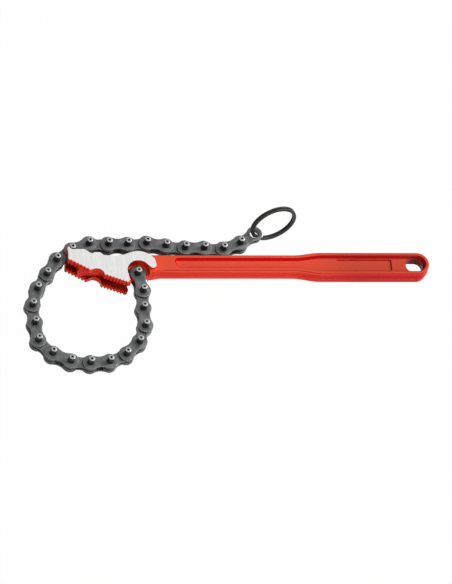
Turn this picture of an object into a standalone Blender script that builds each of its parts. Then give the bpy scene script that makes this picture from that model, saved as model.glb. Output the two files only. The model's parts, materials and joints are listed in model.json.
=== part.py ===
# Chain pipe wrench: a forged handle whose head splits into two toothed cheeks, a chain of
# twenty-six hinged links on long round pins, and a split pull ring at the free end.
# +X runs along the handle to the grip, +Y from the teeth to the chain seat, +Z is up.
# The wrench lies on its side, and the origin is on the lower cheek's ground face.

import math

import bmesh
import bpy
from mathutils import Matrix, Vector

mm = 0.001
GAP = 0.3 * mm

# Chain
PITCH = 15.875 * mm
LOOP_HEADINGS = (-79, -94, -90, -113, -136, -155, -176, -186)
LOOP_HEADINGS += (-206, -228, -265, -268, -289, -304, -305, -325)
TAIL_LIFTS = (5.2, 4.8, 4.7, 5.8, 3.4, 1.6, 1.3, 0.6, 6.2, 15.4)
PLATE_END_RADIUS = 6.5 * mm
PLATE_WAIST = 9.2 * mm
INNER_PLATE = 1.45 * mm
OUTER_PLATE = 1.4 * mm
INNER_WIDTH = 5.2 * mm
PIN_RADIUS = 2.5 * mm
PIN_LENGTH = 22.0 * mm
PIN_CHAMFER = 0.4 * mm
PIN_CLEARANCE = 0.4 * mm
BUSH_WALL = 0.7 * mm

# Head, seen from above with the anchor pin at the middle of the drawing
CHEEK_FACE = 10.5 * mm
CHEEK_ROOT = 0.8 * mm
SLOT_CLEARANCE = 0.4 * mm
NOSE_WIDTH = 4.9 * mm
NOSE_HEIGHT = 13.2 * mm
NOSE_EDGE = 1.0 * mm
HORN_HEIGHT = 2.2 * mm
HORN_WIDTH = 1.2 * mm
SEAT_CLEARANCE = 0.35 * mm
SEAT_LENGTH = 8.6 * mm
WAIST_TOP = 13.4 * mm
WAIST_RISE = 2.1 * mm
HUMP_START = 0.62
HUMP_RISE = 2.4 * mm
TOOTH_DEPTH = 1.5 * mm
TOOTH_TIP = 0.32
TOOTH_ROOT = 0.28
LEFT_TEETH = 7
LEFT_ROW_END = 0.3 * mm
RIGHT_TEETH = 8
RIGHT_ROW_START = -5.0 * mm
RIGHT_ROW_END = -11.8 * mm
HEEL_RADIUS = 1.3 * mm
HEEL_WALL = 0.6 * mm
HEEL_BACK = 0.7
HEEL_UP = 1.46
RELIEF_MIDDLE = -5.4 * mm
ARCH_CLEARANCE = 3.2 * mm
ARCH_START = 195
POCKET_EDGE = 0.35 * mm
HOOK_THICKNESS = 7.5 * mm
HOOK_TIP_RADIUS = 3.0 * mm
HOOK_TIP_ANGLE = 20.5
HOOK_TOP_ANGLE = 93
CORE_END = 3.15 * mm
CORE_DROP = 3.5 * mm
CORE_BOTTOM = 2.1 * mm
CORE_ARCH = 3.9 * mm
CORE_STEP = 0.5 * mm
CORE_FALL = 0.4 * mm
BOSS_RADIUS = 6.2 * mm
BOSS_START = 155
BOSS_END = 305
BOSS_FOOT = (1.8 * mm, -2.9 * mm)
CHEEK_MOUNT = (-44.0 * mm, 9.0 * mm)

# Shares of the head's length, from the anchor pin to the nose seat
LEFT_ROW_SHARE = 0.804
RELIEF_SHARE = 0.664
RELIEF_RADIUS_SHARE = 0.122
RIGHT_ROW_SHARE = 0.534
WAIST_SHARES = ((0.23, 0.8 * mm), (0.38, 0.0), (0.53, 0.7 * mm), (0.6, 1.8 * mm))
WAIST_END_SHARE = 0.706
CORE_FLAT_SHARE = 0.534
CORE_ARCH_SHARES = (0.477, 0.325)

# Handle
BEAM_EDGE = 1.3 * mm
SHANK_BOTTOM = 0.0 * mm
SHANK_TOP = 15.7 * mm
GRIP_BOTTOM = -2.95 * mm
GRIP_TOP = 18.1 * mm
FLARE_START = 130.0 * mm
FLARE_END = 153.0 * mm
HANDLE_END = 244.0 * mm
FLANGE = 2.6 * mm
RECESS_DEPTH = 3.0 * mm
RECESS_FILLET = 1.2 * mm
RECESS_START = 31.0 * mm
RECESS_TAPER = 9.0 * mm
RECESS_CORNER = 2.0 * mm
RECESS_CHAMFER = 1.4 * mm
THROAT_END = 20.0 * mm
THROAT_START = 11.2 * mm
THROAT_DROP = 1.5 * mm
ROOT_TOP = 4.0 * mm
ROOT_SLOPE = 3.2 * mm
ROOT_NEAR = -3.0 * mm
ROOT_FAR = -14.0 * mm
PANEL_START = 163.0 * mm
PANEL_END = 209.0 * mm
PANEL_HEIGHT = 10.4 * mm
PANEL_DEPTH = 0.6 * mm
HOLE_X = 231.5 * mm
HOLE_RADIUS = 6.4 * mm
HOLE_STRETCH = 1.6 * mm

# Split ring
RING_RADIUS = 18.2 * mm
RING_STRAND_WIDTH = 2.5 * mm
RING_STRAND_HEIGHT = 1.45 * mm
RING_DIRECTION = 16
RING_LEAN = 8
RING_SIDES = 8
RING_POINTS = 57
JOG_START = 326
JOG_END = 357
STRAND_END = 681

# Sizes that follow from the ones above
OUTER_INSIDE = INNER_WIDTH / 2 + GAP
OUTER_OUTSIDE = OUTER_INSIDE + OUTER_PLATE
PIN_HOLE = PIN_RADIUS + PIN_CLEARANCE
BUSH_RADIUS = PIN_HOLE + BUSH_WALL
BUSH_HOLE = BUSH_RADIUS + PIN_CLEARANCE
SLOT_HALF = OUTER_OUTSIDE + SLOT_CLEARANCE
BEAM_HALF = SLOT_HALF + CHEEK_ROOT
SEAT_RADIUS = PIN_RADIUS + SEAT_CLEARANCE
ARCH_RADIUS = PLATE_END_RADIUS + ARCH_CLEARANCE
HOOK_RADIUS = ARCH_RADIUS + HOOK_THICKNESS
POCKET_RADIUS = ARCH_RADIUS - POCKET_EDGE
GRIP_MIDDLE = (GRIP_TOP + GRIP_BOTTOM) / 2
GRIP_RADIUS = (GRIP_TOP - GRIP_BOTTOM) / 2
LAY_HEIGHT = SHANK_TOP + PLATE_END_RADIUS
WEB_HALF = INNER_WIDTH / 2
CUTTER_REACH = 4 * mm
ROUND_STEPS = 10
PLATE_END_STEPS = 7


def arc(centre, radius, start, end, steps):
    """Points on a circle, angles in degrees, both ends included."""
    points = []
    for i in range(steps + 1):
        angle = math.radians(start + (end - start) * i / steps)
        points.append((centre[0] + radius * math.cos(angle), centre[1] + radius * math.sin(angle)))
    return points


def ease(start, end, steps):
    """Points on a smooth step from start to end, level at both."""
    points = []
    for i in range(steps + 1):
        t = i / steps
        rise = t * t * (3 - 2 * t)
        points.append((start[0] + (end[0] - start[0]) * t, start[1] + (end[1] - start[1]) * rise))
    return points


def link_ends():
    """Pin centres from the anchor to the ring's hole: the loop by its headings, the tail by its lie."""
    ends = [(0.0, 0.0)]
    headings = []
    for heading in LOOP_HEADINGS:
        headings.append(heading)
        x, y = ends[-1]
        step = math.radians(heading)
        ends.append((x + PITCH * math.cos(step), y + PITCH * math.sin(step)))
    for lift in TAIL_LIFTS:
        x, y = ends[-1]
        step = math.asin((LAY_HEIGHT + lift * mm - y) / PITCH)
        headings.append(math.degrees(step) - 360)
        ends.append((x + PITCH * math.cos(step), y + PITCH * math.sin(step)))
    return ends, headings


def new_material(name, colour, metallic, roughness):
    material = bpy.data.materials.new(name)
    material.use_nodes = True
    shader = material.node_tree.nodes["Principled BSDF"]
    shader.inputs["Base Color"].default_value = (*colour, 1)
    shader.inputs["Metallic"].default_value = metallic
    shader.inputs["Roughness"].default_value = roughness
    return material


def flat_mesh(name, outlines, low, high):
    """A plate between two levels from closed outlines; outlines inside the first are holes."""
    curve = bpy.data.curves.new(name + "_outline", "CURVE")
    curve.dimensions = "2D"
    curve.fill_mode = "BOTH"
    curve.extrude = (high - low) / 2
    for outline in outlines:
        spline = curve.splines.new("POLY")
        spline.points.add(len(outline) - 1)
        for point, (x, y) in zip(spline.points, outline):
            point.co = (x, y, 0, 1)
        spline.use_cyclic_u = True
    holder = bpy.data.objects.new(name + "_outline", curve)
    bpy.context.scene.collection.objects.link(holder)
    bpy.context.view_layer.update()
    depsgraph = bpy.context.evaluated_depsgraph_get()
    mesh = bpy.data.meshes.new_from_object(holder.evaluated_get(depsgraph))
    bpy.data.objects.remove(holder)
    mesh.name = name
    shape = bmesh.new()
    shape.from_mesh(mesh)
    bmesh.ops.remove_doubles(shape, verts=shape.verts, dist=0.001 * mm)
    bmesh.ops.translate(shape, verts=shape.verts, vec=(0, 0, (low + high) / 2))
    bmesh.ops.recalc_face_normals(shape, faces=shape.faces)
    if len(outlines) == 1:
        bmesh.ops.dissolve_limit(shape, angle_limit=0.001, verts=shape.verts, edges=shape.edges)
    shape.to_mesh(mesh)
    shape.free()
    return mesh


def place(name, mesh, collection, material=None, parent=None):
    item = bpy.data.objects.new(name, mesh)
    collection.objects.link(item)
    item.parent = parent
    if material and not mesh.materials:
        mesh.materials.append(material)
    return item


def new_hinge(name, location, heading, collection, parent):
    """An empty on a joint's axis, turned along the link that it carries."""
    hinge = bpy.data.objects.new(name, None)
    hinge.empty_display_size = 5 * mm
    hinge.location = location
    hinge.rotation_euler = (0, 0, math.radians(heading))
    hinge.parent = parent
    collection.objects.link(hinge)
    return hinge


def add_mirror(item):
    mirror = item.modifiers.new("other_side", "MIRROR")
    mirror.use_axis = (False, False, True)
    mirror.merge_threshold = 0.01 * mm


def add_boolean(item, cutter, operation):
    cut = item.modifiers.new(cutter.name, "BOOLEAN")
    cut.operation = operation
    cut.solver = "EXACT"
    cut.object = cutter


def add_bevel(item, width, segments):
    bevel = item.modifiers.new("edges", "BEVEL")
    bevel.width = width
    bevel.segments = segments
    bevel.limit_method = "ANGLE"
    bevel.angle_limit = math.radians(55)
    bevel.use_clamp_overlap = False


def polar(radius, angle):
    return (radius * math.cos(math.radians(angle)), radius * math.sin(math.radians(angle)))


def tooth_row(start, end, count):
    """Flat-tipped teeth from the first tip to the last, cut upwards to the tooth depth."""
    step = (Vector(end) - Vector(start)) / (count - 1)
    inward = Vector((-step.y, step.x)).normalized() * TOOTH_DEPTH
    points = []
    for i in range(count):
        tip = Vector(start) + step * i
        points.append(tuple(tip - step * TOOTH_TIP / 2))
        points.append(tuple(tip + step * TOOTH_TIP / 2))
        if i < count - 1:
            gullet = tip + step / 2 + inward
            points.append(tuple(gullet - step * TOOTH_ROOT / 2))
            points.append(tuple(gullet + step * TOOTH_ROOT / 2))
    return points


def cheek_outline(seat):
    """One cheek seen from above, against the clock from the nose's first tooth."""
    reach = seat[0]
    nose = reach - NOSE_WIDTH
    seat_floor = seat[1] - SEAT_RADIUS
    horn_top = seat_floor + HORN_HEIGHT
    nose_bottom = horn_top - NOSE_HEIGHT + NOSE_EDGE
    relief = (reach * RELIEF_SHARE, RELIEF_MIDDLE)
    heel = -ARCH_RADIUS - HEEL_WALL
    heel_middle = (heel + HEEL_RADIUS * HEEL_BACK, RIGHT_ROW_END + HEEL_RADIUS * HEEL_UP)
    tip = polar(ARCH_RADIUS + HOOK_TIP_RADIUS, HOOK_TIP_ANGLE)

    left_end = (reach * LEFT_ROW_SHARE, LEFT_ROW_END)
    points = tooth_row((nose + NOSE_EDGE, nose_bottom), left_end, LEFT_TEETH)
    points += arc(relief, -reach * RELIEF_RADIUS_SHARE, 150, 25, 7)
    points += tooth_row((reach * RIGHT_ROW_SHARE, RIGHT_ROW_START), (heel, RIGHT_ROW_END), RIGHT_TEETH)
    points += arc(heel_middle, HEEL_RADIUS, -45, 10, 3)
    points += arc((0, 0), ARCH_RADIUS, ARCH_START, HOOK_TIP_ANGLE + 8, 14)
    points += arc(tip, HOOK_TIP_RADIUS, 180 + HOOK_TIP_ANGLE, 360 + HOOK_TIP_ANGLE, 7)
    points += arc((0, 0), HOOK_RADIUS, HOOK_TIP_ANGLE + 13.5, HOOK_TOP_ANGLE, 6)
    points.append((-ARCH_RADIUS * HUMP_START, WAIST_TOP + HUMP_RISE))
    points += [(reach * share, WAIST_TOP + rise) for share, rise in WAIST_SHARES]
    waist_end = (reach * WAIST_END_SHARE, WAIST_TOP + WAIST_RISE)
    points += ease(waist_end, (reach + SEAT_LENGTH, seat_floor), 3)
    points += arc(seat, SEAT_RADIUS, -90, -165, 5)
    points += [(nose + NOSE_EDGE + HORN_WIDTH, horn_top), (nose + NOSE_EDGE, horn_top)]
    points += [(nose, horn_top - NOSE_EDGE), (nose + NOSE_EDGE / 2, (horn_top + nose_bottom) / 2)]
    points.append((nose, nose_bottom + NOSE_EDGE))
    return points


def beam_outline(seat):
    """The core between the cheeks, the web round the anchor pin, the shank and the grip in one."""
    reach = seat[0]
    core_left = reach + CORE_END
    core_top = seat[1] - PLATE_END_RADIUS - CORE_DROP
    points = [(core_left, CORE_BOTTOM), (reach * CORE_FLAT_SHARE, CORE_BOTTOM)]
    arch_start = (reach * CORE_ARCH_SHARES[0], CORE_BOTTOM + CORE_STEP)
    points += ease(arch_start, (reach * CORE_ARCH_SHARES[1], CORE_BOTTOM + CORE_ARCH), 3)
    points.append((-ARCH_RADIUS, CORE_BOTTOM + CORE_ARCH))
    points += arc((0, 0), BOSS_RADIUS, BOSS_START, BOSS_END, 8)
    points.append((BOSS_RADIUS + BOSS_FOOT[0], SHANK_BOTTOM + BOSS_FOOT[1]))
    points += ease((THROAT_START, SHANK_BOTTOM - THROAT_DROP), (THROAT_END, SHANK_BOTTOM), 3)
    points += ease((FLARE_START, SHANK_BOTTOM), (FLARE_END, GRIP_BOTTOM), 6)
    points += arc((HANDLE_END - GRIP_RADIUS, GRIP_MIDDLE), GRIP_RADIUS, -90, 90, 14)
    points += ease((FLARE_END, GRIP_TOP), (FLARE_START, SHANK_TOP), 6)
    points += [(ROOT_TOP, SHANK_TOP), (ROOT_NEAR, SHANK_TOP - ROOT_SLOPE)]
    points += [(ROOT_FAR, core_top + CORE_FALL), (core_left, core_top)]
    return points


def recess_outline():
    """The sunk face of the I-section, a flange's width inside the beam's outline."""
    low = SHANK_BOTTOM + FLANGE
    high = SHANK_TOP - FLANGE
    points = [(RECESS_START + RECESS_TAPER, low)]
    flare_start = FLARE_START + FLANGE / 3
    flare_end = FLARE_END + FLANGE / 3
    points += ease((flare_start, low), (flare_end, GRIP_BOTTOM + FLANGE), 6)
    points += arc((HANDLE_END - GRIP_RADIUS, GRIP_MIDDLE), GRIP_RADIUS - FLANGE, -90, 90, 13)
    points += ease((flare_end, GRIP_TOP - FLANGE), (flare_start, high), 6)
    points += [(RECESS_START + RECESS_CORNER, high), (RECESS_START, high - RECESS_CHAMFER)]
    return points


def slotted_outline(middle, radius, stretch):
    points = arc((middle[0] + stretch, middle[1]), radius, -90, 90, 8)
    points += arc((middle[0] - stretch, middle[1]), radius, 90, 270, 8)
    return points


def make_recess_cutter(name, outline, floor, cutters, parent):
    """A cutter with a rounded lower edge, one on each side of the handle."""
    mesh = flat_mesh(name, [outline], floor, BEAM_HALF + CUTTER_REACH)
    cutter = place(name, mesh, cutters, parent=parent)
    add_bevel(cutter, RECESS_FILLET, 2)
    add_mirror(cutter)
    return cutter


def make_handle(seat, parts, cutters, wrench):
    paint = new_material("red_paint", (0.75, 0.05, 0.02), 0.0, 0.35)
    beam = flat_mesh("handle_forging", [beam_outline(seat)], -BEAM_HALF, BEAM_HALF)
    handle = place("handle_forging", beam, parts, paint, wrench)
    add_bevel(handle, BEAM_EDGE, 2)

    round_pocket = arc((0, 0), POCKET_RADIUS, 5, 350, 23)
    pocket = flat_mesh("arch_pocket", [round_pocket], WEB_HALF, CHEEK_FACE + CUTTER_REACH)
    pockets = place("arch_pocket", pocket, cutters, parent=wrench)
    add_mirror(pockets)
    add_boolean(handle, pockets, "DIFFERENCE")

    cheek = flat_mesh("cheek", [cheek_outline(seat)], SLOT_HALF, CHEEK_FACE)
    cheeks = place("cheek", cheek, cutters, parent=wrench)
    add_mirror(cheeks)
    add_boolean(handle, cheeks, "UNION")

    recess_floor = BEAM_HALF - RECESS_DEPTH
    recess = make_recess_cutter("handle_recess", recess_outline(), recess_floor, cutters, wrench)
    add_boolean(handle, recess, "DIFFERENCE")

    half = PANEL_HEIGHT / 2
    panel = [(PANEL_START, GRIP_MIDDLE - half), (PANEL_END, GRIP_MIDDLE - half)]
    panel += [(PANEL_END, GRIP_MIDDLE + half), (PANEL_START, GRIP_MIDDLE + half)]
    panel_floor = recess_floor - PANEL_DEPTH
    panel_cut = flat_mesh("grip_panel", [panel], panel_floor, BEAM_HALF + CUTTER_REACH)
    panels = place("grip_panel", panel_cut, cutters, parent=wrench)
    add_mirror(panels)
    add_boolean(handle, panels, "DIFFERENCE")

    hang = slotted_outline((HOLE_X, GRIP_MIDDLE), HOLE_RADIUS, HOLE_STRETCH)
    hang_cut = flat_mesh("hang_hole", [hang], -2 * BEAM_HALF, 2 * BEAM_HALF)
    hang_hole = place("hang_hole", hang_cut, cutters, parent=wrench)
    add_boolean(handle, hang_hole, "DIFFERENCE")

    bore = flat_mesh("anchor_bore", [arc((0, 0), PIN_HOLE, 0, 330, 11)], -2 * WEB_HALF, 2 * WEB_HALF)
    anchor_bore = place("anchor_bore", bore, cutters, parent=wrench)
    add_boolean(handle, anchor_bore, "DIFFERENCE")


def plate_outline():
    """A waisted link plate: two round ends joined by hollow sides that meet them smoothly."""
    half = PITCH / 2
    waist = PLATE_WAIST / 2
    hollow = (half ** 2 + waist ** 2 - PLATE_END_RADIUS ** 2) / (2 * (PLATE_END_RADIUS - waist))
    meet = math.degrees(math.atan2(waist + hollow, half))
    points = arc((PITCH, 0), PLATE_END_RADIUS, meet - 180, 180 - meet, PLATE_END_STEPS)
    points += arc((half, waist + hollow), hollow, -meet, meet - 180, 3)[1:-1]
    points += arc((0, 0), PLATE_END_RADIUS, meet, 360 - meet, PLATE_END_STEPS)
    points += arc((half, -waist - hollow), hollow, 180 - meet, meet, 3)[1:-1]
    return points


def round_hole(x, radius):
    return arc((x, 0), radius, 0, 360 - 360 / ROUND_STEPS, ROUND_STEPS - 1)


def turned_item(name, profile, collection):
    """A profile in X and Z, down its outer side, turned about the Z axis."""
    shape = bmesh.new()
    corners = [shape.verts.new((x, 0, z)) for x, z in profile]
    for first, second in zip(corners, corners[1:]):
        shape.edges.new((first, second))
    mesh = bpy.data.meshes.new(name)
    shape.to_mesh(mesh)
    shape.free()
    item = place(name, mesh, collection)
    turn = item.modifiers.new("turn", "SCREW")
    turn.steps = ROUND_STEPS
    turn.render_steps = ROUND_STEPS
    turn.use_merge_vertices = True
    turn.merge_threshold = 0.01 * mm
    turn.use_smooth_shade = False
    return item


def mesh_of(item, name):
    """The item's mesh with its modifiers made real, for the links to share."""
    bpy.context.view_layer.update()
    depsgraph = bpy.context.evaluated_depsgraph_get()
    mesh = bpy.data.meshes.new_from_object(item.evaluated_get(depsgraph))
    mesh.name = name
    return mesh


def pin_plate_mesh(cutters):
    """The lower outer plate with both of the link's pins riveted into it."""
    top = PIN_LENGTH / 2
    edge = PIN_RADIUS - PIN_CHAMFER
    profile = [(0, top), (edge, top), (PIN_RADIUS, top - PIN_CHAMFER)]
    profile += [(PIN_RADIUS, PIN_CHAMFER - top), (edge, -top), (0, -top)]
    blank = flat_mesh("pin_plate", [plate_outline()], -OUTER_OUTSIDE, -OUTER_INSIDE)
    plate = place("pin_plate", blank, cutters)
    for i in range(2):
        pin = turned_item(f"pin_{i + 1}", profile, cutters)
        pin.location.x = i * PITCH
        add_boolean(plate, pin, "UNION")
    return mesh_of(plate, "pin_plate")


def bush_plate_mesh(name, bushes, cutters):
    """The lower inner plate with its pressed-in bushes; without one, an end is left as an open hole."""
    half = INNER_WIDTH / 2
    buried = INNER_PLATE / 2 - half
    profile = [(0, half), (BUSH_RADIUS, half), (BUSH_RADIUS, buried), (0, buried)]
    reach = PIN_LENGTH / 2
    bore = [(0, reach), (PIN_HOLE, reach), (PIN_HOLE, -reach), (0, -reach)]
    outlines = [plate_outline()]
    if bushes < 2:
        outlines.append(round_hole(PITCH, BUSH_HOLE))
    plate = place(name, flat_mesh(name, outlines, -half, INNER_PLATE - half), cutters)
    for i in range(bushes):
        bush = turned_item(f"{name}_bush_{i + 1}", profile, cutters)
        bush.location.x = i * PITCH
        add_boolean(plate, bush, "UNION")
        hollow = turned_item(f"{name}_bore_{i + 1}", bore, cutters)
        hollow.location.x = i * PITCH
        add_boolean(plate, hollow, "DIFFERENCE")
    return mesh_of(plate, name)


def make_chain(ends, headings, parts, cutters, wrench):
    steel = new_material("blackened_steel", (0.10, 0.11, 0.12), 0.9, 0.45)
    bright = new_material("pin_steel", (0.20, 0.21, 0.22), 0.9, 0.4)
    half = INNER_WIDTH / 2
    pin_holes = [round_hole(0, PIN_HOLE), round_hole(PITCH, PIN_HOLE)]
    bush_holes = [round_hole(0, BUSH_HOLE), round_hole(PITCH, BUSH_HOLE)]
    pin_plate = pin_plate_mesh(cutters)
    bush_plate = bush_plate_mesh("bush_plate", 2, cutters)
    last_plate = bush_plate_mesh("last_bush_plate", 1, cutters)
    outer_plate = flat_mesh("outer_plate", [plate_outline()] + pin_holes, OUTER_INSIDE, OUTER_OUTSIDE)
    inner_plate = flat_mesh("inner_plate", [plate_outline()] + bush_holes, half - INNER_PLATE, half)

    parent = wrench
    last_heading = 0
    last_end = (0, 0)
    last_link = len(headings)
    for i, heading in enumerate(headings):
        number = i + 1
        away = Vector((ends[i][0] - last_end[0], ends[i][1] - last_end[1], 0))
        away.rotate(Matrix.Rotation(-math.radians(last_heading), 3, "Z"))
        name = f"link_{number:02d}"
        hinge = new_hinge(name + "_hinge", away, heading - last_heading, parts, parent)
        if number % 2:
            place(name + "_pin_plate", pin_plate, parts, bright, hinge)
            place(name + "_outer_plate", outer_plate, parts, steel, hinge)
        else:
            lower_plate = last_plate if number == last_link else bush_plate
            place(name + "_bush_plate", lower_plate, parts, steel, hinge)
            place(name + "_inner_plate", inner_plate, parts, steel, hinge)
        parent = hinge
        last_heading = heading
        last_end = ends[i]
    return parent


def ring_path():
    """Two flat turns: the strand climbs onto itself in one short jog and stops just before it."""
    layer = (RING_STRAND_HEIGHT + GAP) / 2
    points = []
    for i in range(RING_POINTS):
        angle = STRAND_END * i / (RING_POINTS - 1)
        climb = min(max((angle - JOG_START) / (JOG_END - JOG_START), 0), 1)
        climb = climb * climb * (3 - 2 * climb)
        points.append((*polar(RING_RADIUS, angle), layer * (2 * climb - 1)))
    return points


def make_ring(parts, cutters, last_hinge, last_heading):
    section = bpy.data.curves.new("ring_section", "CURVE")
    section.dimensions = "2D"
    outline = section.splines.new("POLY")
    outline.points.add(RING_SIDES - 1)
    half_side = 180 / RING_SIDES
    corner = 1 / math.cos(math.radians(half_side))
    for i, point in enumerate(outline.points):
        x, y = polar(corner, half_side * (2 * i + 1))
        point.co = (x * RING_STRAND_WIDTH / 2, y * RING_STRAND_HEIGHT / 2, 0, 1)
    outline.use_cyclic_u = True
    section_object = place("ring_section", section, cutters)

    curve = bpy.data.curves.new("ring_wire", "CURVE")
    curve.dimensions = "3D"
    curve.twist_mode = "Z_UP"
    curve.bevel_mode = "OBJECT"
    curve.bevel_object = section_object
    curve.use_fill_caps = True
    spline = curve.splines.new("POLY")
    path = ring_path()
    spline.points.add(len(path) - 1)
    for point, place_on_path in zip(spline.points, path):
        point.co = (*place_on_path, 1)
    wire = bpy.data.objects.new("ring_wire", curve)
    bpy.context.scene.collection.objects.link(wire)
    bpy.context.view_layer.update()
    depsgraph = bpy.context.evaluated_depsgraph_get()
    mesh = bpy.data.meshes.new_from_object(wire.evaluated_get(depsgraph))
    bpy.data.objects.remove(wire)
    shape = bmesh.new()
    shape.from_mesh(mesh)
    bmesh.ops.remove_doubles(shape, verts=shape.verts, dist=0.001 * mm)
    bmesh.ops.recalc_face_normals(shape, faces=shape.faces)
    shape.to_mesh(mesh)
    shape.free()
    mesh.name = "split_ring"

    # The ring stands on the ground under the last link and passes up through that link's open hole.
    lean = math.radians(RING_LEAN)
    reach = (RING_RADIUS + RING_STRAND_WIDTH / 2) * math.cos(lean)
    reach += (RING_STRAND_HEIGHT + GAP) * math.sin(lean)
    height = (reach - PIN_LENGTH / 2 + GAP) / math.cos(lean)
    away = math.sqrt(RING_RADIUS ** 2 - height ** 2)
    hinge = new_hinge("ring_hinge", (PITCH, 0, 0), RING_DIRECTION - last_heading, parts, last_hinge)
    black = new_material("ring_steel", (0.03, 0.03, 0.03), 0.8, 0.4)
    ring = place("split_ring", mesh, parts, black, hinge)
    up = Vector((0, math.sin(lean), math.cos(lean)))
    along = Vector((1, 0, 0))
    side = along.cross(up)
    turn = Matrix((along, up, side)).transposed().to_4x4()
    ring.matrix_local = Matrix.Translation(along * away + up * height) @ turn


def main():
    for item in list(bpy.data.objects):
        bpy.data.objects.remove(item)
    parts = bpy.data.collections.new("chain_pipe_wrench")
    cutters = bpy.data.collections.new("cutters")
    bpy.context.scene.collection.children.link(parts)
    bpy.context.scene.collection.children.link(cutters)

    wrench = bpy.data.objects.new("wrench", None)
    wrench.location = (-CHEEK_MOUNT[0], -CHEEK_MOUNT[1], CHEEK_FACE)
    parts.objects.link(wrench)

    ends, headings = link_ends()
    make_handle(ends[len(LOOP_HEADINGS)], parts, cutters, wrench)
    last_hinge = make_chain(ends, headings, parts, cutters, wrench)
    make_ring(parts, cutters, last_hinge, headings[-1])

    for item in cutters.objects:
        item.hide_render = True
        item.display_type = "WIRE"


main()
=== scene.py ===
import json
import math

import bmesh
import bpy
from mathutils import Matrix, Vector


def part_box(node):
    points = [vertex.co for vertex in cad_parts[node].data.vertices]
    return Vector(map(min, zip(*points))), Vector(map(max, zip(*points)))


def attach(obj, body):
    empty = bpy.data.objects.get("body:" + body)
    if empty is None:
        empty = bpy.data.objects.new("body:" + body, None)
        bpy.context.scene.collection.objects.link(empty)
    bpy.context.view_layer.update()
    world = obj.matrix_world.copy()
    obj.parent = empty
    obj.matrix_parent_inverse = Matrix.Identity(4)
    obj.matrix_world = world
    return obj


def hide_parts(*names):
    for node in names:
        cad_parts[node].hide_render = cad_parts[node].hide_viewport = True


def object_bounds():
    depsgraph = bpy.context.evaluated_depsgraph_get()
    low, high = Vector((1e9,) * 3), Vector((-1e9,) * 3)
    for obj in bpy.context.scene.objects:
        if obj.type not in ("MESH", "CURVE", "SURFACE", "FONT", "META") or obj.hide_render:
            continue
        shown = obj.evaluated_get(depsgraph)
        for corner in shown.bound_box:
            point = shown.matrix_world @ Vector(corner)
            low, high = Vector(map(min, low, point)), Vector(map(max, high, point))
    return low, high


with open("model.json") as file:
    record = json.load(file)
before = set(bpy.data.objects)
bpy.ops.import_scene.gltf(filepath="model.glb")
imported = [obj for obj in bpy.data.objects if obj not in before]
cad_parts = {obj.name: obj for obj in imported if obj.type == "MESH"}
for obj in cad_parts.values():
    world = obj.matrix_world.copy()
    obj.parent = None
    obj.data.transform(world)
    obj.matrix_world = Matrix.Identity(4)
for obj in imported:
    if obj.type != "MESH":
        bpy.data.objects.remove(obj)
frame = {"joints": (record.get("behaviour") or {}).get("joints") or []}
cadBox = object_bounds()
mm = 0.001
noiseSpan = (0.3, 0.7)  # noise seldom leaves these values
patchSpan = (0.35, 0.7)  # the same, with more of it at the low end
weldDistance = 0.002 * mm
joints = {joint["child"]: joint for joint in frame["joints"]}


# helpers for shader trees

def addNode(tree, kind, **values):
    node = tree.nodes.new("ShaderNode" + kind)
    for name, value in values.items():
        if hasattr(node, name):
            setattr(node, name, value)
        else:
            node.inputs[name.replace("_", " ")].default_value = value
    return node


def startMaterial(name, metallic, roughness):
    material = bpy.data.materials.new(name)
    material.use_nodes = True
    tree = material.node_tree
    shader = tree.nodes["Principled BSDF"]
    shader.inputs["Metallic"].default_value = metallic
    shader.inputs["Roughness"].default_value = roughness
    return material, tree, shader


def objectPoints(tree, stretch=(1, 1, 1)):
    where = addNode(tree, "TexCoord")
    scaled = addNode(tree, "Mapping", Scale=stretch)
    tree.links.new(where.outputs["Object"], scaled.inputs["Vector"])
    return scaled.outputs["Vector"]


def noiseValue(tree, points, size, detail=4.0, rough=0.55):
    noise = addNode(tree, "TexNoise", Scale=1 / size, Detail=detail, Roughness=rough)
    tree.links.new(points, noise.inputs["Vector"])
    return noise.outputs["Fac"]


def levelness(tree):
    where = addNode(tree, "TexCoord")
    facing = addNode(tree, "SeparateXYZ")
    tree.links.new(where.outputs["Normal"], facing.inputs[0])
    return mathValue(tree, "ABSOLUTE", facing.outputs["Z"])  # 1 on level faces, 0 on upright ones


def remap(tree, value, low, high, toLow, toHigh):
    ranged = addNode(tree, "MapRange", clamp=True)
    ranged.inputs["From Min"].default_value = low
    ranged.inputs["From Max"].default_value = high
    ranged.inputs["To Min"].default_value = toLow
    ranged.inputs["To Max"].default_value = toHigh
    tree.links.new(value, ranged.inputs["Value"])
    return ranged.outputs["Result"]


def mixColours(tree, factor, first, second):
    mixed = addNode(tree, "Mix", data_type="RGBA")  # inputs 6 and 7 and output 2 are its colours
    for socket, colour in ((6, first), (7, second)):
        if isinstance(colour, tuple):
            mixed.inputs[socket].default_value = (*colour, 1)
        else:
            tree.links.new(colour, mixed.inputs[socket])
    tree.links.new(factor, mixed.inputs["Factor"])
    return mixed.outputs[2]


def mathValue(tree, operation, first, second=0.0):
    node = addNode(tree, "Math", operation=operation, use_clamp=True)
    for socket, value in enumerate((first, second)):
        if isinstance(value, (int, float)):
            node.inputs[socket].default_value = value
        else:
            tree.links.new(value, node.inputs[socket])
    return node.outputs[0]


def bumpFrom(tree, shader, height, depth):
    bump = addNode(tree, "Bump", Strength=1.0, Distance=depth)
    tree.links.new(height, bump.inputs["Height"])
    tree.links.new(bump.outputs["Normal"], shader.inputs["Normal"])


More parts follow.
